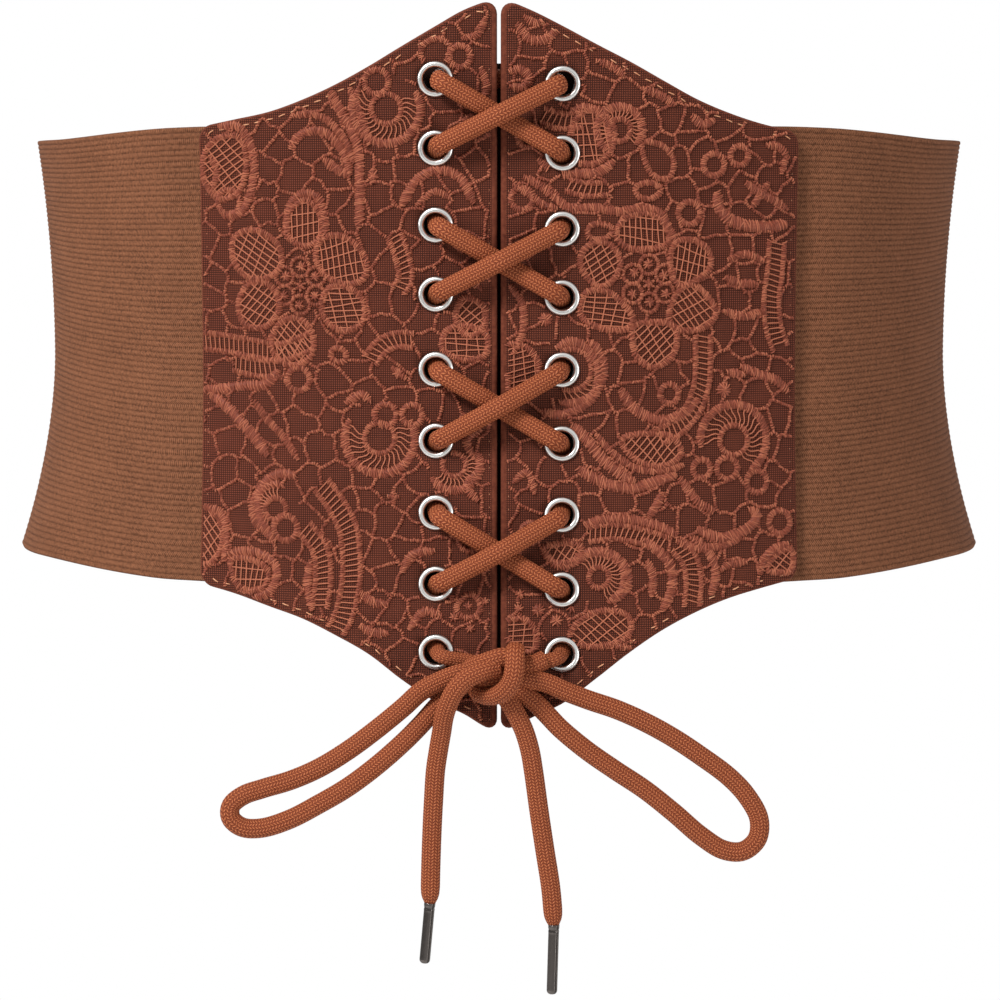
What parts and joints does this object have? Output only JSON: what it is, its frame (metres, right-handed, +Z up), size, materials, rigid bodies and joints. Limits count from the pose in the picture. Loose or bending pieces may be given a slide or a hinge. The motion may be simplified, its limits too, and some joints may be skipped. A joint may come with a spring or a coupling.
{
  "type": "corset belt",
  "caption": "Waist-cinching belt with two pointed lace-covered front panels, laced through eyelets and tied in a bow, on a wide elastic band.",
  "frame": {"origin": "on the middle axis of the waist, at its narrowest height", "axes": "+X to the right as seen from the front, +Y towards the back, +Z up along the body; the laced front faces -Y"},
  "size_m": [0.2936, 0.226, 0.2765],
  "materials": {
    "panel": "matt leatherette covered with corded lace",
    "elastic": "ribbed woven elastic, matt",
    "placket": "dark matt backing",
    "lace": "braided polyester cord, slight sheen",
    "eyelet": "bright nickel",
    "aglet": "dark polished metal"
  },
  "bodies": {
    "root": {"aglet_left": "aglet", "aglet_right": "aglet", "bow_knot": "lace", "bow_loop_left": "lace", "bow_loop_right": "lace", "elastic_band": "elastic", "eyelet_left_1": "eyelet", "eyelet_left_2": "eyelet", "eyelet_left_3": "eyelet", "eyelet_left_4": "eyelet", "eyelet_left_5": "eyelet", "eyelet_left_6": "eyelet", "eyelet_left_7": "eyelet", "eyelet_left_8": "eyelet", "eyelet_left_9": "eyelet", "eyelet_right_1": "eyelet", "eyelet_right_2": "eyelet", "eyelet_right_3": "eyelet", "eyelet_right_4": "eyelet", "eyelet_right_5": "eyelet", "eyelet_right_6": "eyelet", "eyelet_right_7": "eyelet", "eyelet_right_8": "eyelet", "eyelet_right_9": "eyelet", "lace_tail_left": "lace", "lace_tail_right": "lace", "lacing": "lace", "panel_left": "panel", "panel_right": "panel", "placket": "placket"}
  },
  "joints": []
}
